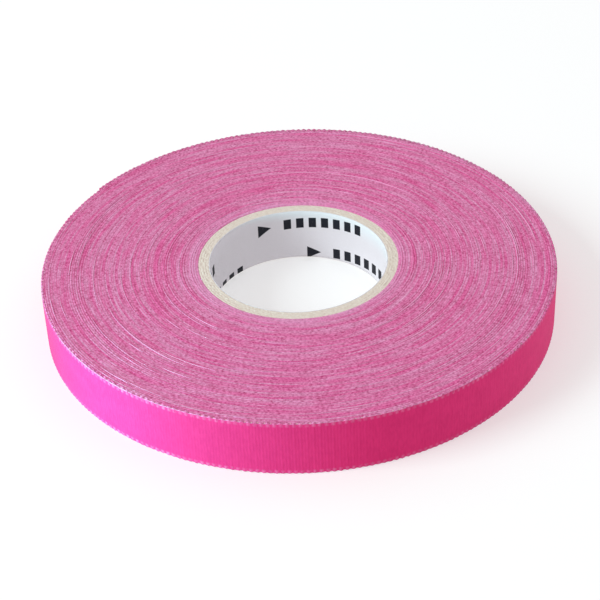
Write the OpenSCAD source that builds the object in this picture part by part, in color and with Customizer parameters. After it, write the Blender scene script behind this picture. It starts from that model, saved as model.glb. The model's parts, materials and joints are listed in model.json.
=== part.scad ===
// Roll of cloth grip tape on a paper core.
// The roll stands on the z = 0 plane with the axis of its core along +Z.
// The strip is wound anticlockwise, seen from above, with its adhesive side in.

/* [Tape] */
// Width of the tape, which is also the height of the roll
tape_w = 10; // [6:0.5:25]
// Thickness of the woven cloth
cloth_t = 0.27; // [0.2:0.01:0.35]
// Thickness of the adhesive mass on the inner side of the cloth
adhesive_t = 0.12; // [0.08:0.01:0.2]
// Turns of tape on the core
turns = 70; // [10:1:90]

/* [Core] */
// Bore of the core
bore_d = 31; // [20:0.2:80]
// Thickness of the printed paper that lines the bore
liner_t = 0.15; // [0.1:0.05:0.3]
// Thickness of one ply of core board
ply_t = 0.45; // [0.3:0.05:0.8]
// Plies of core board
plies = 4; // [2:1:7]
// Gap between the two edges of a ply, where they meet
seam_gap = 0.12; // [0.08:0.02:0.4]
// Lean of the board seams away from the axis
seam_lean = 28; // [0:1:40]

/* [Leader] */
// Arc of the free end that can be peeled off the roll
leader_arc = 104; // [40:4:160]
// Rigid lengths that the free end is divided into, so that it can bend
leader_parts = 8; // [4:1:12]
// Slack between the free end's adhesive and the turn below it
leader_slack = 0.03; // [0.02:0.01:0.05]
// Direction from the axis to the cut end of the strip
end_azimuth = 142; // [0:1:359]

/* [Hidden] */
$fn = 96;
pitch = cloth_t + adhesive_t;
board_r = bore_d / 2 + liner_t;
core_r = board_r + plies * ply_t;
last_half = 2 * turns - 1;
leader_from = 360 - leader_arc;
leader_step = leader_arc / leader_parts;
liner_seam_azimuth = 262;
board_seam_azimuth = 300;
board_seam_stagger = 137;
cut_margin = 1;

// The strip follows a two-centre spiral. Each half turn is a true arc, and the
// centres of odd and even half turns lie half a pitch apart, so the arcs meet
// end to end while the radius grows by one pitch a turn.
function arc_centre(half) = half % 2 == 0 ? 0 : pitch / 2;
function arc_radius(half) = core_r + half * pitch / 2;
function arc_start(half) = half % 2 == 0 ? 0 : 180;

// A length of one layer of the strip, between two angles of a half turn.
// depth is measured outwards from the inner face of the strip.
module strip_arc(half, depth, thickness, from, to) {
    translate([arc_centre(half), 0, 0])
        rotate([0, 0, from])
            rotate_extrude(angle = to - from)
                translate([arc_radius(half) + depth, 0])
                    square([thickness, tape_w]);
}

// One layer of all the tape that stays wound on the core.
module wound_layer(depth, thickness) {
    rotate([0, 0, end_azimuth]) {
        for (half = [0 : last_half - 1])
            strip_arc(half, depth, thickness, arc_start(half), arc_start(half) + 180);
        strip_arc(last_half, depth, thickness, arc_start(last_half), leader_from);
    }
}

// One layer of the nth rigid length of the free end, counted from the roll.
module leader_layer(n, depth, thickness) {
    from = leader_from + (n - 1) * leader_step;
    rotate([0, 0, end_azimuth])
        strip_arc(last_half, depth, thickness, from, from + leader_step);
}

// A strip of paper bent round until its two edges meet at a seam.
module paper_ring(inner_r, thickness, seam_azimuth, lean) {
    difference() {
        cylinder(h = tape_w, r = inner_r + thickness);
        translate([0, 0, -cut_margin])
            cylinder(h = tape_w + 2 * cut_margin, r = inner_r);
        rotate([0, 0, seam_azimuth])
            translate([inner_r + thickness / 2, 0, tape_w / 2])
                rotate([lean, 0, 0])
                    cube([2 * thickness, seam_gap, 2 * tape_w], center = true);
    }
}

module core_liner() {
    color("white")
        paper_ring(bore_d / 2, liner_t, liner_seam_azimuth, 0);
}

module core_ply(n) {
    color("cornsilk")
        paper_ring(
            board_r + (n - 1) * ply_t,
            ply_t,
            board_seam_azimuth + n * board_seam_stagger,
            seam_lean
        );
}

module wound_cloth() {
    color("hotpink") wound_layer(adhesive_t, cloth_t);
}

module wound_adhesive() {
    color("antiquewhite") wound_layer(0, adhesive_t);
}

module leader_cloth(n) {
    color("deeppink") leader_layer(n, adhesive_t, cloth_t);
}

module leader_adhesive(n) {
    color("antiquewhite")
        leader_layer(n, leader_slack, adhesive_t - leader_slack);
}

core_liner();
for (n = [1 : plies])
    core_ply(n);
wound_cloth();
wound_adhesive();
for (n = [1 : leader_parts])
    leader_cloth(n);
for (n = [1 : leader_parts])
    leader_adhesive(n);
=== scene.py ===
"""Looks of a roll of pink cloth grip tape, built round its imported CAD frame.

The winding, the last turn, the free end, the core and its lining are rebuilt here with the detail that
the CAD solids leave out: ribs and yarns of the weave, the cut edge of every turn, loose threads and printed
paper. Sizes are in millimetres until a mesh is made, and angles are in radians unless a name ends in deg.
"""
import json
import math

import bpy
import numpy as np
from mathutils import Matrix, Vector


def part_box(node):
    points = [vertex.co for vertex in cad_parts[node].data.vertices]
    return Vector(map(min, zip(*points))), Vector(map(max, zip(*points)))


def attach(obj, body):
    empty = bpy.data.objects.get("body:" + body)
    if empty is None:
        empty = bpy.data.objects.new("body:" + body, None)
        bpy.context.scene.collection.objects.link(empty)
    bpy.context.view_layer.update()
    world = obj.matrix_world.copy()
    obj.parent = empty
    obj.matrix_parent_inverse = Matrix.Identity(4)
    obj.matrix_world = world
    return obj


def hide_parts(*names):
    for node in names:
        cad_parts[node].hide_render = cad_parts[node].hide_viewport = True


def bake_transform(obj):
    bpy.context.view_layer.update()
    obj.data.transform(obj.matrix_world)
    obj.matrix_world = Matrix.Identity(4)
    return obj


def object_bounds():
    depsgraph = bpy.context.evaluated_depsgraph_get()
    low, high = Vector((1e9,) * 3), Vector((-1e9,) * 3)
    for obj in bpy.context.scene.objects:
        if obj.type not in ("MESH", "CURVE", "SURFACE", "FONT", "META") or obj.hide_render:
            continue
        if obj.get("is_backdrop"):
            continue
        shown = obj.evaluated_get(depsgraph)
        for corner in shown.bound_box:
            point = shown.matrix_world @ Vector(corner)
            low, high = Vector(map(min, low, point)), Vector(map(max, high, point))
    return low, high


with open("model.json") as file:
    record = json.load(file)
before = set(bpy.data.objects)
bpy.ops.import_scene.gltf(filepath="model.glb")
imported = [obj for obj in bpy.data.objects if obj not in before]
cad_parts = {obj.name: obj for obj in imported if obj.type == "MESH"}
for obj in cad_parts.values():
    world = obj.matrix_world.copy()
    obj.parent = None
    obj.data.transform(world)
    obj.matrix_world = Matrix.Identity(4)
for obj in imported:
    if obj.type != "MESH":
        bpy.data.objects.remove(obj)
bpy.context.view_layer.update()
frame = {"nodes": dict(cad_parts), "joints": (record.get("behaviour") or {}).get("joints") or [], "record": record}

MM = 0.001
TAU = 2 * math.pi

# ---------------------------------------------------------------- Sizes of the roll
bore_mount = next(m for m in frame["record"]["mounts"] if m["name"] == "core_bore")
BORE_R = bore_mount["dims"]["r_mm"]
PLIES = sum(name.startswith("core_ply_") for name in frame["nodes"])
BOARD_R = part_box("core_liner")[1].x / MM
CORE_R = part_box(f"core_ply_{PLIES}")[1].x / MM
PLY_T = (CORE_R - BOARD_R) / PLIES
TAPE_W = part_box("wound_cloth")[1].z / MM

# The strip, as the CAD source winds it.
CLOTH_T = 0.27
ADHESIVE_T = 0.12
LEADER_SLACK = 0.03
PITCH = CLOTH_T + ADHESIVE_T
TURNS = 70
END_AZIMUTH = math.radians(142)
LEADER_PARTS = len(frame["joints"])
LEADER_STEP = math.radians(13)
TAPE_END = TURNS * TAU
PEEL_LINE = TAPE_END - LEADER_PARTS * LEADER_STEP
LAST_TURN_START = PEEL_LINE - TAU
ROLL_R = CORE_R + TURNS * PITCH

# The weave: thick yarns across the strip make its ribs, thin ones run along it.
# Every second rib ends on top of the outermost lengthwise yarn, which makes a pale tooth of its end.
RIBS_PER_PART = 20
RIB_ANGLE = LEADER_STEP / RIBS_PER_PART
EVEN_RIBS_A_TURN = 2 * math.ceil(TAU / RIB_ANGLE / 2)
LAST_RIB = EVEN_RIBS_A_TURN + LEADER_PARTS * RIBS_PER_PART
COLUMNS_PER_RIB = 4
RIB_DEPTH = 0.018
YARN_SPACING = 0.5
FACE_ROWS = 34
TOOTH = 0.15
FRINGE = 0.75
FRINGE_SINK = 0.04
FRAY_ANGLE = 0.004
FRAY_COLUMNS = 3

# The bottom teeth and the pale tips each use a stretch of the ribs' noise that starts this many ribs on.
BOTTOM_SHIFT = 40
TIP_SHIFT = 90

# The edges of the cloth: its corners are softened, and its cut yarns flare inwards over the adhesive.
# They stay a small gap away from the turn below.
SOFTENING = 0.03
FLARE = 0.05
FLARE_SOFTENING = 0.02
FLARE_GAP = 0.01

# The adhesive film of the last turn and the free end, which is lumpy and stops short of the cut edges.
# The strides say how far apart neighbouring columns and rows are on the noise of the lumps.
FILM_SET_BACK = 0.07
FILM_ROWS = 12
LUMP = 0.012
LUMP_COLUMN_STRIDE = 7.3
LUMP_ROW_STRIDE = 3.1

# The cut edges of the wound turns.
GROOVE_DEPTH = 0.016
GROOVE_VARIATION = 0.007
# In the grooves the cut yarns keep this share of their colour. The rest is the darker pink of the woven face,
# painted shade in the gaps between turns.
GROOVE_CUT_AND_SHADE = 0.7
YARN_END = 0.56
YARN_RISE = 0.02

# Where the first mark of the lining's print is, by its azimuth and height.
PRINT_AZIMUTH = math.radians(115)
PRINT_HEIGHT = 6.9

# The seams of the lining and of the board, as in the CAD source.
LINING_SEAM = math.radians(-98)
BOARD_SEAM = math.radians(300)
BOARD_SEAM_STAGGER = math.radians(137)
BOARD_SEAM_LEAN = math.radians(28)


# ---------------------------------------------------------------- The strip's path and its unevenness
def smooth_noise(seed, spacing, span):
    """A function of a coordinate from 0 to span. It gives -1 to 1, with a new random value every spacing."""
    knots = np.random.default_rng(seed).uniform(-1, 1, int(span / spacing) + 4)

    def value(x):
        place = np.clip(np.asarray(x) / spacing, 0, len(knots) - 2)
        first = place.astype(int)
        share = place - first
        share = share * share * (3 - 2 * share)
        return knots[first] * (1 - share) + knots[first + 1] * share

    return value


def strip_place(angle, depth):
    """Where a point of the strip lies in the roll's plane, by winding angle and depth from the inner face."""
    turn, local = np.divmod(angle, TAU)
    second_half = local >= math.pi
    radius = CORE_R + PITCH * (turn + 0.5 * second_half) + depth
    x = radius * np.cos(local) + second_half * PITCH / 2
    y = radius * np.sin(local)
    c, s = math.cos(END_AZIMUTH), math.sin(END_AZIMUTH)
    return x * c - y * s, x * s + y * c


def strip_length(angle):
    """Length of strip wound from its start up to a winding angle."""
    return angle * (CORE_R + angle / TAU * PITCH / 2)


# How the strip wanders sideways: each part is its size and a noise of the winding angle.
DRIFTS = (
    (0.06, smooth_noise(1, TAU * 2.3, TAPE_END)),
    (0.025, smooth_noise(2, TAU / 5, TAPE_END)),
    (0.006, smooth_noise(3, TAU / 30, TAPE_END)),
)
top_yarns = smooth_noise(4, YARN_END, strip_length(TAPE_END))
bottom_yarns = smooth_noise(5, YARN_END, strip_length(TAPE_END))
groove_noise = smooth_noise(6, TAU / 60, TAPE_END + TAU)
rib_noise = smooth_noise(7, 1.0, 2 * LAST_RIB)
fray_noise = smooth_noise(8, 1.0, 2 * FACE_ROWS)
lump_noise = smooth_noise(9, 2.0, LAST_RIB * LUMP_COLUMN_STRIDE + FILM_ROWS * LUMP_ROW_STRIDE)


def edge_drift(angle):
    """How far the strip has wandered sideways, up the roll's axis, at a winding angle."""
    return sum(size * noise_of_angle(angle) for size, noise_of_angle in DRIFTS)


# ---------------------------------------------------------------- Meshes
def make_piece(name, points, quads, caps, material, attributes):
    """A mesh object with smooth quads and flat caps. Each attribute holds one number or triple a point."""
    mesh = bpy.data.meshes.new(name)
    corners = np.concatenate([np.ravel(quads)] + [np.asarray(cap) for cap in caps])
    sizes = np.concatenate([np.full(len(quads), 4), [len(cap) for cap in caps]])
    starts = np.concatenate([[0], np.cumsum(sizes)[:-1]])
    mesh.vertices.add(len(points))
    mesh.vertices.foreach_set("co", (points * MM).astype(np.float32).ravel())
    mesh.loops.add(len(corners))
    mesh.loops.foreach_set("vertex_index", corners.astype(np.int32))
    mesh.polygons.add(len(sizes))
    mesh.polygons.foreach_set("loop_start", starts.astype(np.int32))
    mesh.polygons.foreach_set("use_smooth", np.arange(len(sizes)) < len(quads))
    mesh.update(calc_edges=True)
    mesh.validate()
    for key, values in attributes.items():
        values = np.asarray(values, np.float32)
        kind, field = ("FLOAT_VECTOR", "vector") if values.ndim == 2 else ("FLOAT", "value")
        mesh.attributes.new(key, kind, "POINT").data.foreach_set(field, values.ravel())
    mesh.materials.append(material)
    piece = bpy.data.objects.new(name, mesh)
    bpy.context.scene.collection.objects.link(piece)
    return piece


def grid_quads(columns, rows, first=0, rows_closed=False):
    """Quads of a grid of points stored column by column, facing the side that (row, column) turn about."""
    column = np.arange(columns - 1)[:, None]
    row = np.arange(rows if rows_closed else rows - 1)[None, :]
    following = (row + 1) % rows
    here = first + column * rows
    there = here + rows
    return np.stack([here + row, here + following, there + following, there + row], -1).reshape(-1, 4)


def solid_of_sections(name, points, material, attributes):
    """A closed solid from (columns, rows, 3) points: each column is one closed section.

    The caps at both ends have points of their own, so they leave the shading of the long faces alone."""
    columns, rows = points.shape[:2]
    caps = [columns * rows + np.arange(rows)[::-1], (columns + 1) * rows + np.arange(rows)]
    quads = grid_quads(columns, rows, rows_closed=True)
    flat = {}
    for key, value in attributes.items():
        with_caps = np.concatenate([value, value[[0, -1]]])
        flat[key] = with_caps.reshape((-1,) + value.shape[2:])
    with_caps = np.concatenate([points, points[[0, -1]]])
    return make_piece(name, with_caps.reshape(-1, 3), quads, caps, material, flat)


def stacked(*coordinates):
    """One array of triples from three coordinates that broadcast to the same shape."""
    return np.stack(np.broadcast_arrays(*coordinates), -1)


# ---------------------------------------------------------------- Shader helpers
def set_input(tree, socket, value):
    """Links a socket to an input, or gives the input a plain value."""
    if isinstance(value, bpy.types.NodeSocket):
        tree.links.new(value, socket)
    else:
        socket.default_value = value


def add_node(tree, kind, settings=None, **inputs):
    """A shader node. An input is named with _ for a space, or by its place as in _0."""
    made = tree.nodes.new("ShaderNode" + kind)
    for key, value in (settings or {}).items():
        setattr(made, key, value)
    for key, value in inputs.items():
        socket = made.inputs[int(key[1:])] if key[0] == "_" else made.inputs[key.replace("_", " ")]
        set_input(tree, socket, value)
    return made


def calculate(tree, operation, a, b=0.0):
    return add_node(tree, "Math", {"operation": operation}, _0=a, _1=b).outputs[0]


def weighted_sum(tree, *terms):
    """The sum of terms, each of which is a value and its weight."""
    total = calculate(tree, "MULTIPLY", *terms[0])
    for value, weight in terms[1:]:
        added = add_node(tree, "Math", {"operation": "MULTIPLY_ADD"}, _0=value, _1=weight, _2=total)
        total = added.outputs[0]
    return total


def between(tree, value, low, high):
    """0 where value is at low or beyond it, 1 at high or beyond it, smooth between. low may be above high."""
    settings = {"interpolation_type": "SMOOTHSTEP"}
    return add_node(tree, "MapRange", settings, Value=value, From_Min=low, From_Max=high).outputs[0]


def noise(tree, place, x, y, z, detail=2.0, roughness=0.5):
    """Noise that changes about x, y and z times along each unit of the place's three directions."""
    scaled = add_node(tree, "VectorMath", {"operation": "MULTIPLY"}, _0=place, _1=(x, y, z)).outputs[0]
    made = add_node(tree, "TexNoise", Vector=scaled, Scale=1.0, Detail=detail, Roughness=roughness)
    return made.outputs[0]


def mixed(tree, factor, a, b):
    """Colour a where factor is 0 and b where it is 1."""
    made = add_node(tree, "Mix", {"data_type": "RGBA"}, _0=factor)
    for socket, value in zip(made.inputs[6:8], (a, b)):
        set_input(tree, socket, value if isinstance(value, bpy.types.NodeSocket) else (*value, 1))
    return made.outputs[2]


def attribute(tree, name):
    return add_node(tree, "Attribute", {"attribute_name": name})


def parts_of(tree, vector):
    return add_node(tree, "SeparateXYZ", Vector=vector).outputs


def bump(tree, height, distance_mm, strength):
    return add_node(tree, "Bump", Height=height, Distance=distance_mm * MM, Strength=strength).outputs[0]


def new_material(name, colour_for_views):
    """A material with its node tree and its main shader."""
    material = bpy.data.materials.new(name)
    material.use_nodes = True
    material.diffuse_color = (*colour_for_views, 1)
    return material, material.node_tree, material.node_tree.nodes["Principled BSDF"]


def set_inputs(tree, shader, **inputs):
    for key, value in inputs.items():
        set_input(tree, shader.inputs[key.replace("_", " ")], value)


# ---------------------------------------------------------------- Materials
# The attribute strip is a point's place in mm. On the tape it is the length along it, the radius and the
# height. On paper and board it is the length round the ring, the height and the radius.
def woven_face(tree, strip):
    """Colour of the dyed face, with a little variation from yarn to yarn."""
    yarn = noise(tree, strip, 3.2, 1.0, 0.9, detail=3)
    patch = noise(tree, strip, 0.25, 0.0, 0.35)
    light = weighted_sum(tree, (yarn, 0.6), (patch, 0.4))
    return mixed(tree, between(tree, light, 0.3, 0.7), (0.61, 0.0125, 0.135), (0.69, 0.019, 0.157))


def cut_yarns(tree, strip, grain):
    """Colour of the cut yarns' ends: grainy, in bands along the turns of deep and of washed-out dye."""
    speck_colour, thread_colour, core_colour = (0.42, 0.03, 0.14), (0.90, 0.50, 0.70), (0.82, 0.42, 0.68)
    specks, threads, paleness_near_core = 0.6, 0.5, 0.3
    band_near_core = 3.0

    patches = noise(tree, strip, 0.14, 0.7, 0.0, detail=3)
    streak = noise(tree, strip, 0.05, 1.5, 0.0)
    zone = noise(tree, strip, 0.012, 0.5, 0.0)
    lit = between(tree, grain, 0.18, 0.82)
    deep = mixed(tree, lit, (0.48, 0.038, 0.17), (0.86, 0.175, 0.43))
    washed = mixed(tree, lit, (0.48, 0.145, 0.275), (0.86, 0.36, 0.61))
    faded = weighted_sum(tree, (patches, 0.48), (streak, 0.21), (zone, 0.31))
    ends = mixed(tree, between(tree, faded, 0.38, 0.62), deep, washed)

    radius = parts_of(tree, strip)[1]
    overlays = (
        (between(tree, grain, 0.36, 0.26), specks, speck_colour),
        (between(tree, streak, 0.64, 0.8), threads, thread_colour),
        (between(tree, radius, CORE_R + band_near_core, CORE_R), paleness_near_core, core_colour),
    )
    for where, amount, colour in overlays:
        ends = mixed(tree, calculate(tree, "MULTIPLY", where, amount), ends, colour)
    return ends


def cloth_material():
    """Dyed cotton. The attribute cut is 0 on the woven face and 1 on the cut yarns, less in the grooves, where the
    darker pink of the woven face is painted in as shade in the gaps between turns.
    """
    material, tree, shader = new_material("dyed_cloth", (0.75, 0.06, 0.3))
    strip = attribute(tree, "strip").outputs["Vector"]
    cut = attribute(tree, "cut").outputs["Fac"]
    grain = noise(tree, strip, 2.1, 2.0, 1.0, detail=1)
    fine = noise(tree, strip, 9.0, 9.0, 9.0, detail=3, roughness=0.7)
    colour = mixed(tree, cut, woven_face(tree, strip), cut_yarns(tree, strip, grain))
    relief = bump(tree, calculate(tree, "ADD", fine, grain), distance_mm=0.03, strength=0.45)
    set_inputs(tree, shader, Base_Color=colour, Roughness=0.92, Specular_IOR_Level=0.25, Normal=relief,
               Sheen_Weight=0.1, Sheen_Roughness=0.5, Sheen_Tint=(1.0, 0.7, 0.9, 1))
    return material


def thread_material():
    """Loose cotton threads, where little of the dye has taken."""
    material, tree, shader = new_material("loose_thread", (0.95, 0.75, 0.85))
    place_in_metres = add_node(tree, "TexCoord").outputs["Object"]
    tint = noise(tree, place_in_metres, 60, 60, 60, detail=1)
    colour = mixed(tree, between(tree, tint, 0.35, 0.65), (0.70, 0.20, 0.42), (0.80, 0.34, 0.56))
    set_inputs(tree, shader, Base_Color=colour, Roughness=0.9, Specular_IOR_Level=0.2, Sheen_Weight=0.3)
    return material


def adhesive_material():
    """Soft adhesive mass: cream, with the pink of the cloth showing through where it lies thin."""
    material, tree, shader = new_material("adhesive_mass", (0.8, 0.6, 0.62))
    strip = attribute(tree, "strip").outputs["Vector"]
    thick = noise(tree, strip, 1.6, 0.0, 1.6, detail=3, roughness=0.6)
    lumps = noise(tree, strip, 4.0, 4.0, 4.0, detail=3, roughness=0.6)
    colour = mixed(tree, between(tree, thick, 0.35, 0.7), (0.80, 0.60, 0.60), (0.86, 0.74, 0.68))
    roughness = add_node(tree, "MapRange", Value=lumps, To_Min=0.35, To_Max=0.6).outputs[0]
    set_inputs(tree, shader, Base_Color=colour, Roughness=roughness, Specular_IOR_Level=0.45,
               Normal=bump(tree, lumps, distance_mm=0.04, strength=0.6))
    return material


def board_material():
    """Uncoated grey-cream core board, with short fibres along its length and a rougher cut edge."""
    material, tree, shader = new_material("core_board", (0.83, 0.79, 0.67))
    strip = attribute(tree, "strip").outputs["Vector"]
    fibres = noise(tree, strip, 1.2, 7.0, 2.0, detail=4, roughness=0.65)
    specks = noise(tree, strip, 5.0, 9.0, 5.0)
    light = weighted_sum(tree, (fibres, 0.6), (specks, 0.4))
    colour = mixed(tree, between(tree, light, 0.3, 0.7), (0.69, 0.59, 0.50), (0.80, 0.705, 0.63))
    set_inputs(tree, shader, Base_Color=colour, Roughness=0.95, Specular_IOR_Level=0.2,
               Normal=bump(tree, light, distance_mm=0.05, strength=0.8))
    return material


def box_mask(tree, u, v, centre_u, half_u, half_v):
    """1 inside an upright rectangle of the print that is centred on its row, with edges a little soft."""
    soft = 0.08
    across = calculate(tree, "ABSOLUTE", calculate(tree, "SUBTRACT", u, centre_u))
    along = calculate(tree, "ABSOLUTE", v)
    inside_u = between(tree, across, half_u + soft, half_u)
    inside_v = between(tree, along, half_v + soft, half_v)
    return calculate(tree, "MULTIPLY", inside_u, inside_v)


def print_mask(tree, u, v):
    """1 where the lining is printed with its plain repeating mark, a solid arrow head and a row of bars.

    u runs round the paper in mm from PRINT_AZIMUTH, and v runs up it. The first arrow head is at u = 0 and at
    the height PRINT_HEIGHT. The rows climb by one row in each turn of the paper."""
    repeat, row_pitch, row_shift = 33.0, 6.5, 9.1
    climb = row_pitch / (TAU * BORE_R)
    bar_h, bar_w, bar_pitch, bars = 2.0, 1.3, 2.3, 7
    arrow_len, arrow_h, arrow_soft, first_bar = 2.6, 2.6, 0.05, 4.5

    row_middle = 0.5
    level = weighted_sum(tree, (v, 1 / row_pitch), (u, -climb / row_pitch),
                         (1.0, row_middle - PRINT_HEIGHT / row_pitch))
    row = calculate(tree, "FLOOR", level)
    from_middle = calculate(tree, "SUBTRACT", calculate(tree, "FRACT", level), row_middle)
    in_row = calculate(tree, "MULTIPLY", from_middle, row_pitch)
    along = calculate(tree, "FLOORED_MODULO", weighted_sum(tree, (u, 1.0), (row, row_shift)), repeat)

    in_bars = calculate(tree, "SUBTRACT", along, first_bar)
    bar_place = calculate(tree, "FLOORED_MODULO", in_bars, bar_pitch)
    one_bar = box_mask(tree, bar_place, in_row, bar_pitch / 2, bar_w / 2, bar_h / 2)
    half_span = bars * bar_pitch / 2
    whole_group = box_mask(tree, in_bars, in_row, half_span, half_span, bar_h)
    all_bars = calculate(tree, "MULTIPLY", one_bar, whole_group)

    to_tip = calculate(tree, "SUBTRACT", arrow_len, along)
    half_height = calculate(tree, "MULTIPLY", to_tip, arrow_h / 2 / arrow_len)
    beyond = calculate(tree, "SUBTRACT", calculate(tree, "ABSOLUTE", in_row), half_height)
    inside = between(tree, beyond, arrow_soft, -arrow_soft)
    whole_arrow = box_mask(tree, along, in_row, arrow_len / 2, arrow_len / 2, arrow_h)
    head = calculate(tree, "MULTIPLY", inside, whole_arrow)
    return calculate(tree, "MAXIMUM", all_bars, head)


def liner_material():
    """White printed paper, with a faint pink tint that is painted bounce light from the pink tape. The attribute
    cut is 1 on the printed side.
    """
    ink_colour = (0.004, 0.005, 0.012)
    material, tree, shader = new_material("printed_paper", (0.92, 0.92, 0.94))
    strip = attribute(tree, "strip").outputs["Vector"]
    printed_side = attribute(tree, "cut").outputs["Fac"]
    u, v, _ = parts_of(tree, strip)
    inked = calculate(tree, "MULTIPLY", printed_side, print_mask(tree, u, v))
    fibres = noise(tree, strip, 4.0, 4.0, 1.0, detail=3, roughness=0.6)
    not_worn = between(tree, fibres, 0.2, 0.32)
    # The paper's faint pink tint is painted bounce light from the pink tape.
    paper = mixed(tree, fibres, (0.685, 0.655, 0.69), (0.74, 0.71, 0.745))
    colour = mixed(tree, calculate(tree, "MULTIPLY", inked, not_worn), paper, ink_colour)
    set_inputs(tree, shader, Base_Color=colour, Roughness=0.6, Specular_IOR_Level=0.25,
               Normal=bump(tree, fibres, distance_mm=0.01, strength=0.5))
    return material


# ---------------------------------------------------------------- The wound turns
def band_faces(columns, rows, columns_per_turn):
    """Quads of a band's two flat sides and two walls, and the outlines of the strip's two ends.

    The points of the bottom side follow those of the top side, in the same order."""
    count = columns * rows

    def wall(chosen, row, outward):
        """Quads from the top side to the bottom side along one row of points."""
        here = chosen[:-1] * rows + row
        there = chosen[1:] * rows + row
        quads = np.stack([here, here + count, there + count, there], -1)
        return quads if outward else quads[:, ::-1]

    top_quads = grid_quads(columns, rows)
    bottom_quads = grid_quads(columns, rows, first=count)[:, ::-1]
    inner_wall = wall(np.arange(columns_per_turn + 1), 0, outward=False)
    outer_wall = wall(np.arange(columns - 1 - columns_per_turn, columns), rows - 1, outward=True)
    ends = []
    for column, order in ((0, 1), (columns - 1, -1)):
        edge = column * rows + np.arange(rows)
        ends.append(np.concatenate([edge, edge[::-1] + count])[::order])
    return np.concatenate([top_quads, bottom_quads, inner_wall, outer_wall]), ends


def winding_band(name, first_turn, last_angle, columns_per_turn, material):
    """A closed ring of wound turns. On its two flat sides every turn is a crest with a groove beside it."""
    step = TAU / columns_per_turn
    start = first_turn * TAU
    columns = int(round((last_angle - start) / step)) + 1
    angle = np.linspace(start, last_angle, columns)[:, None]

    # The outermost turn ends at the face of its cloth, and the first one starts at the core.
    crest = np.array([False, True, True, False])
    profile = [ADHESIVE_T / 2, ADHESIVE_T + SOFTENING, PITCH - SOFTENING, PITCH + ADHESIVE_T / 2]
    depth = np.tile(profile, (columns, 1))
    if last_angle == LAST_TURN_START:
        outermost = angle[:, 0] > last_angle - TAU + step / 2
        depth[outermost, -1] = PITCH
    x, y = strip_place(angle, depth)
    on_core = angle[:, 0] < TAU
    azimuth = angle[on_core, 0] + END_AZIMUTH
    x[on_core, 0] = CORE_R * np.cos(azimuth)
    y[on_core, 0] = CORE_R * np.sin(azimuth)

    drift = edge_drift(angle)
    length = strip_length(angle)
    groove_angle = angle + np.array([0, 0, 0, TAU])
    groove = GROOVE_DEPTH + GROOVE_VARIATION * groove_noise(groove_angle)
    top = TAPE_W + np.where(crest, drift + YARN_RISE * top_yarns(length), -groove)
    bottom = np.where(crest, drift + YARN_RISE * bottom_yarns(length), groove)

    points = np.concatenate([stacked(x, y, top).reshape(-1, 3), stacked(x, y, bottom).reshape(-1, 3)])
    quads, ends = band_faces(columns, len(crest), columns_per_turn)
    strip = stacked(length, np.hypot(x, y), TAPE_W).reshape(-1, 3)
    # The grooves get painted shade: a darker pink mixed in from the woven face.
    cut = np.broadcast_to(np.where(crest, 1.0, GROOVE_CUT_AND_SHADE), x.shape).ravel()
    attributes = {"strip": np.concatenate([strip, strip * (1, 1, 0)]), "cut": np.concatenate([cut, cut])}
    piece = make_piece(name, points, quads, ends, material, attributes)
    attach(piece, "roll")
    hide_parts("wound_cloth", "wound_adhesive")


def wind_turns(material):
    """The wound turns under the last one, in four bands, with more columns a turn where turns are longer."""
    bands = ((0, 17, 520), (17, 34, 650), (34, 51, 780), (51, None, 880))
    for number, (first, last, columns) in enumerate(bands, 1):
        last_angle = LAST_TURN_START if last is None else last * TAU
        winding_band(f"wound_turns_{number}", first, last_angle, columns, material)


# ---------------------------------------------------------------- The last turn and the free end
def cloth_section(inner_depth):
    """Rows of points round a section of the cloth, whose cut yarns flare inwards as far as inner_depth.

    They are arrays: depth, height, and how far a row belongs to the woven face, the top edge and the bottom
    edge, each from 0 to 1."""
    near_edge = np.array([0.06, 0.2, 0.35, 0.55])
    middle = np.linspace(TAPE_W - FRINGE, FRINGE, FACE_ROWS)
    face = np.concatenate([TAPE_W - near_edge, middle, near_edge[::-1]])
    lip, outer_lip = inner_depth + FLARE_SOFTENING, PITCH - SOFTENING
    rows = [
        (lip, 0.0, 0, 0, 1),
        (inner_depth, FLARE / 2, 0, 0, 1),
        (ADHESIVE_T, FLARE, 0, 0, 1),
        (ADHESIVE_T, TAPE_W - FLARE, 0, 1, 0),
        (inner_depth, TAPE_W - FLARE / 2, 0, 1, 0),
        (lip, TAPE_W, 0, 1, 0),
        (outer_lip, TAPE_W, 0, 1, 0),
    ]
    for height in face:
        top = max(0.0, 1 - (TAPE_W - height) / FRINGE)
        bottom = max(0.0, 1 - height / FRINGE)
        rows.append((PITCH, height, 1, top, bottom))
    rows.append((outer_lip, 0.0, 0, 0, 1))
    return np.array(rows).T


def ribs_at(angle):
    """The number of the nearest rib, the place among the ribs, and how much of a tooth the rib's end is.

    Ribs are counted from the start of the last turn. A tooth is 1 on each second rib and 0 on the others."""
    place = (angle - PEEL_LINE) / RIB_ANGLE + EVEN_RIBS_A_TURN
    tooth = 0.5 + 0.5 * np.cos(math.pi * place)
    return np.round(place), place, tooth


def weave_relief(angle, height, edge_share):
    """How deep the woven face is sunk: between ribs, where a lengthwise yarn goes under, and at low ribs."""
    rib, place, tooth = ribs_at(angle)
    over = np.cos(math.pi * (rib + 2 * height / YARN_SPACING))
    round_rib, under_yarn, low_rib = 0.5, 0.3, 0.4
    valley = round_rib * (1 - np.cos(TAU * place)) + under_yarn * (1 - over) + low_rib * (1 - tooth)
    return RIB_DEPTH * valley + FRINGE_SINK * edge_share * (1 - tooth)


def toothed_heights(angle, height, top_share, bottom_share):
    """Heights of a section's rows, with teeth at both cut edges, each a little longer or shorter."""
    rib, _, tooth = ribs_at(angle)
    drift = edge_drift(angle)
    uneven = 0.25 * TOOTH
    top = drift + TOOTH * (tooth - 0.5) + uneven * rib_noise(rib)
    bottom = drift - TOOTH * (tooth - 0.5) + uneven * rib_noise(rib + BOTTOM_SHIFT)
    return height + top * top_share + bottom * bottom_share


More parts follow.
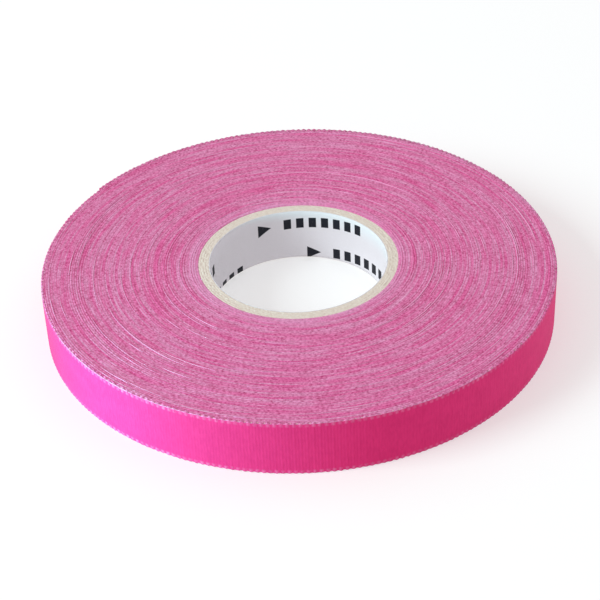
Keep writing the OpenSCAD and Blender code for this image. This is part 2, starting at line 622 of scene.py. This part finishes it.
def tip_paleness(angle, edge_share):
    """How pale the woven face is: not at all in its middle, and most at the tips of the teeth."""
    spread, palest, variation = 1.3, 0.45, 0.25
    rib, _, tooth = ribs_at(angle)
    paleness = np.clip(edge_share * spread, 0, palest) * tooth
    return paleness * (1 - variation + variation * rib_noise(rib + TIP_SHIFT))


def cloth_length(name, start, end, inner_depth, material, frayed=False):
    """A length of the woven strip between two winding angles, with its ribs, yarns and uneven cut edges."""
    columns = int(round((end - start) / (RIB_ANGLE / COLUMNS_PER_RIB))) + 1
    angle = np.linspace(start, end, columns)[:, None]
    depth, height, on_face, top_share, bottom_share = cloth_section(inner_depth + FLARE_GAP)
    edge_share = np.maximum(top_share, bottom_share)
    sunk = weave_relief(angle, height, edge_share)
    heights = toothed_heights(angle, height, top_share, bottom_share)
    cut = np.where(on_face == 1, tip_paleness(angle, edge_share), 1.0)

    angles = np.broadcast_to(angle, heights.shape)
    if frayed:
        from_end = columns - 1 - np.arange(columns)[:, None]
        ragged = FRAY_ANGLE * fray_noise(np.arange(len(height)))
        angles = angles + ragged * np.clip(1 - from_end / FRAY_COLUMNS, 0, 1)
    x, y = strip_place(angles, depth - sunk * on_face)
    strip = stacked(strip_length(angle), np.hypot(x, y), heights)
    return solid_of_sections(name, stacked(x, y, heights), material, {"strip": strip, "cut": cut})


def adhesive_length(name, start, end, inner_depth, material):
    """A length of the adhesive film under the cloth, with a lumpy inner face."""
    columns = int(round((end - start) / RIB_ANGLE)) + 1
    angle = np.linspace(start, end, columns)[:, None]
    face = np.linspace(FILM_SET_BACK, TAPE_W - FILM_SET_BACK, FILM_ROWS)
    height = np.concatenate([face, face[::-1][[0, -1]]])
    column = np.round((angle - LAST_TURN_START) / RIB_ANGLE)
    lump = LUMP * lump_noise(column * LUMP_COLUMN_STRIDE + np.arange(FILM_ROWS) * LUMP_ROW_STRIDE)
    inner = inner_depth + LUMP + lump
    outer = np.full((columns, 2), ADHESIVE_T)
    heights = height + edge_drift(angle)
    x, y = strip_place(angle, np.concatenate([inner, outer], 1))
    strip = stacked(strip_length(angle), np.hypot(x, y), heights)
    return solid_of_sections(name, stacked(x, y, heights), material, {"strip": strip})


def bend(piece, part):
    """Bakes the transform of a length of the free end into its mesh, the same at part 1 as at the others."""
    if part == 1:
        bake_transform(piece)
    else:
        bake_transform(piece)


def lay_free_end(cloth, adhesive):
    """The free end in lengths that run from the middle of one leader part to the middle of the next."""
    middle = [PEEL_LINE + (part + 0.5) * LEADER_STEP for part in range(LEADER_PARTS)]
    for part in range(1, LEADER_PARTS + 1):
        start = PEEL_LINE if part == 1 else middle[part - 2]
        end = middle[part - 1]
        over = cloth_length(f"free_end_cloth_{part}", start, end, LEADER_SLACK, cloth)
        under = adhesive_length(f"free_end_adhesive_{part}", start, end, LEADER_SLACK, adhesive)
        for piece, slot, node in ((over, "cloth", "leader_cloth"), (under, "adhesive", "leader_adhesive")):
            bend(piece, part)
            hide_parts(f"{node}_{part}")
    tip = cloth_length("free_end_cloth_tip", middle[-1], TAPE_END, LEADER_SLACK, cloth, frayed=True)
    under_tip = adhesive_length("free_end_adhesive_tip", middle[-1], TAPE_END, LEADER_SLACK, adhesive)
    for piece, slot in ((tip, "cloth"), (under_tip, "adhesive")):
        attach(piece, f"leader_{LEADER_PARTS}")


def lay_last_turn(cloth, adhesive):
    """The outermost turn that stays on the roll: its cloth shows all round the side."""
    over = cloth_length("last_turn_cloth", LAST_TURN_START, PEEL_LINE, 0.0, cloth)
    under = adhesive_length("last_turn_adhesive", LAST_TURN_START, PEEL_LINE, 0.0, adhesive)
    for piece, slot, node in ((over, "cloth", "wound_cloth"), (under, "adhesive", "wound_adhesive")):
        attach(piece, "roll")
        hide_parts(node)


# ---------------------------------------------------------------- Loose threads
def thread_tubes(name, paths, radii, material):
    """Thin five-sided tubes along paths of points, each tapering to both ends."""
    sides = 5
    blunt = 0.06
    around = np.arange(sides) * TAU / sides
    points, quads, caps, first = [], [], [], 0
    for path, radius in zip(paths, radii):
        count = len(path)
        along = np.gradient(path, axis=0)
        along /= np.linalg.norm(along, axis=1, keepdims=True)
        across = np.cross(along, (0, 0, 1))
        across /= np.linalg.norm(across, axis=1, keepdims=True)
        up = np.cross(across, along)
        taper = np.sqrt(np.sin(np.linspace(blunt, 1 - blunt, count) * math.pi))[:, None, None]
        ring = across[:, None] * np.cos(around)[:, None] + up[:, None] * np.sin(around)[:, None]
        points.append((path[:, None] + ring * taper * radius).reshape(-1, 3))
        quads.append(grid_quads(count, sides, first, rows_closed=True)[:, ::-1])
        caps.append(first + np.arange(sides))
        caps.append(first + (count - 1) * sides + np.arange(sides)[::-1])
        first += count * sides
    return make_piece(name, np.concatenate(points), np.concatenate(quads), caps, material, {})


def lay_threads(name, seed, count, upward, material):
    """Threads pulled loose at the cut edges, lying along the turns of one flat side. Most are short."""
    shortest, longest_extra, point_spacing = 2.5, 16, 0.6
    thinnest, thickest = 0.045, 0.1
    outward_power, short_power = 0.75, 2.2
    sideways_step, lift_step, start_lift = 0.0175, 0.0045, 0.02
    random = np.random.default_rng(seed)
    paths, radii = [], []
    for _ in range(count):
        middle = LAST_TURN_START * random.uniform(0, 1) ** outward_power
        length = shortest + longest_extra * random.uniform(0, 1) ** short_power
        steps = max(int(length / point_spacing), 4)
        radius_here = CORE_R + middle / TAU * PITCH
        angle = middle + np.linspace(-0.5, 0.5, steps) * length / radius_here
        angle = np.clip(angle, 0, LAST_TURN_START)
        depth = ADHESIVE_T + CLOTH_T * random.uniform(0.2, 0.8)
        depth = depth + np.cumsum(random.normal(0, sideways_step, steps))
        x, y = strip_place(angle, depth)
        lift = start_lift * random.uniform(0, 1) + np.abs(np.cumsum(random.normal(0, lift_step, steps)))
        height = edge_drift(angle) + (TAPE_W + lift if upward else -lift)
        paths.append(np.stack([x, y, height], -1))
        radii.append(random.uniform(thinnest, thickest))
    piece = thread_tubes(name, paths, radii, material)
    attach(piece, "roll")


# ---------------------------------------------------------------- The core
def paper_ring(name, inner, outer, seam_azimuth, lean, rag, material):
    """A ring of paper or board with softened, slightly uneven edges and a gap where its two ends meet."""
    columns, wall_rows, rim_rows = 720, 14, 3
    gap, soft, rag_angle = 0.03, 0.03, 0.02
    swing, wear = 0.6, 0.4
    thickness = outer - inner
    wall = np.linspace(soft, TAPE_W - soft, wall_rows)
    rim = np.array([soft, thickness / 2, thickness - soft])
    depth = np.concatenate([np.zeros(wall_rows), rim, np.full(wall_rows, thickness), rim[::-1]])
    height = np.concatenate([wall, np.full(rim_rows, TAPE_W), wall[::-1], np.zeros(rim_rows)])
    edge = np.concatenate([np.zeros(wall_rows), np.ones(rim_rows), np.zeros(wall_rows), -np.ones(rim_rows)])
    half_gap = gap / 2 / inner
    azimuth = np.linspace(half_gap, TAU - half_gap, columns)[:, None]
    ragged = smooth_noise(sum(name.encode()), rag_angle, TAU + 1)
    heights = height + edge * rag * (swing * ragged(azimuth) - wear)
    swept = seam_azimuth + azimuth - (heights - TAPE_W / 2) * math.tan(lean) / inner
    radius = inner + depth
    points = stacked(radius * np.cos(swept), radius * np.sin(swept), heights)
    unrolled = inner * (PRINT_AZIMUTH - seam_azimuth - azimuth)
    strip = stacked(unrolled, heights, radius)
    inner_face = np.broadcast_to((depth == 0).astype(float), heights.shape)
    attributes = {"strip": strip[::-1], "cut": inner_face[::-1]}
    piece = solid_of_sections(name, points[::-1], material, attributes)
    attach(piece, "roll")
    return piece


def build_core(board, paper):
    """The printed lining and the plies of board round it."""
    lining_rag, board_rag = 0.03, 0.05
    lining = paper_ring("core_lining", BORE_R, BOARD_R, LINING_SEAM, 0.0, lining_rag, paper)
    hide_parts("core_liner")
    for ply in range(1, PLIES + 1):
        inner = BOARD_R + (ply - 1) * PLY_T
        seam = BOARD_SEAM + ply * BOARD_SEAM_STAGGER
        ring = paper_ring(f"core_board_{ply}", inner, inner + PLY_T, seam, BOARD_SEAM_LEAN, board_rag, board)
        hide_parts(f"core_ply_{ply}")


# ---------------------------------------------------------------- Studio
def add_area_light(name, azimuth_deg, elevation_deg, distance, size, power, colour):
    """A square soft light that looks at the roll. distance and size are in roll radii, and power in watts."""
    light = bpy.data.lights.new(name, "AREA")
    light.shape = "SQUARE"
    light.size = size * ROLL_R * MM
    light.energy = power
    light.color = colour
    lamp = bpy.data.objects.new(name, light)
    azimuth, elevation = math.radians(azimuth_deg), math.radians(elevation_deg)
    away = Vector((math.cos(azimuth) * math.cos(elevation), math.sin(azimuth) * math.cos(elevation),
                   math.sin(elevation)))
    lamp.location = away * distance * ROLL_R * MM
    lamp.rotation_mode = "QUATERNION"
    lamp.rotation_quaternion = (-away).to_track_quat("-Z", "Y")
    lamp.visible_camera = False
    bpy.context.scene.collection.objects.link(lamp)
    return lamp


def build_floor():
    """A plain white floor that glows a little, just under the roll."""
    low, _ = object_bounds()
    bpy.ops.mesh.primitive_plane_add(size=4.0, location=(0, 0, low.z))
    floor = bpy.context.object
    floor.name = "studio_floor"
    material, tree, shader = new_material("studio_floor", (0.95, 0.95, 0.95))
    set_inputs(tree, shader, Base_Color=(0.62, 0.62, 0.62, 1), Roughness=0.9, Specular_IOR_Level=0.1,
               Emission_Color=(1, 1, 1, 1), Emission_Strength=0.42)
    floor.data.materials.append(material)
    floor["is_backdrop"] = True
    return floor


def light_studio(floor):
    """Even white light, a soft key light from the left, and two near lights that leave the floor alone."""
    world = bpy.data.worlds.new("studio")
    world.use_nodes = True
    background = world.node_tree.nodes["Background"]
    background.inputs["Color"].default_value = (1, 0.97, 0.97, 1)
    background.inputs["Strength"].default_value = 0.65
    bpy.context.scene.world = world
    bpy.context.scene.view_settings.view_transform = "Standard"

    add_area_light("key", azimuth_deg=-166, elevation_deg=32, distance=30, size=14, power=12.6,
                   colour=(0.84, 0.98, 1.0))
    left_glow = add_area_light("left_glow", azimuth_deg=-140, elevation_deg=5.5, distance=1.95, size=0.42,
                               power=0.063, colour=(0.25, 1.0, 0.97))
    right_fill = add_area_light("right_fill", azimuth_deg=2, elevation_deg=4, distance=3.2, size=0.8,
                                power=0.035, colour=(0.8, 0.85, 1.0))
    unlit = bpy.data.collections.new("not_lit_by_near_lights")
    unlit.objects.link(floor)
    unlit.collection_objects[0].light_linking.link_state = "EXCLUDE"
    for lamp in (left_glow, right_fill):
        lamp.light_linking.receiver_collection = unlit


def add_camera():
    """A camera nearly in front, 34 degrees above the top face and 6.7 roll radii from its centre.

    place and target are in roll radii from that centre."""
    place = Vector((-0.2189, -5.5058, 3.7710))
    target = Vector((-0.0049, -0.1185, -0.11))
    tilt = math.radians(-2.49)
    top_centre = Vector((0, 0, TAPE_W * MM))
    data = bpy.data.cameras.new("camera")
    data.sensor_width = 36
    data.lens = 102.7
    data.clip_start = 0.01
    camera = bpy.data.objects.new("camera", data)
    camera.location = top_centre + place * ROLL_R * MM
    aim = (target - place).to_track_quat("-Z", "Y")
    camera.rotation_mode = "QUATERNION"
    camera.rotation_quaternion = aim @ Matrix.Rotation(tilt, 3, "Z").to_quaternion()
    bpy.context.scene.collection.objects.link(camera)
    bpy.context.scene.camera = camera


# ---------------------------------------------------------------- Build
cloth = cloth_material()
adhesive = adhesive_material()
threads = thread_material()
wind_turns(cloth)
lay_last_turn(cloth, adhesive)
lay_free_end(cloth, adhesive)
lay_threads("loose_threads_top", seed=21, count=110, upward=True, material=threads)
lay_threads("loose_threads_bottom", seed=22, count=110, upward=False, material=threads)
build_core(board_material(), liner_material())
light_studio(build_floor())
add_camera()
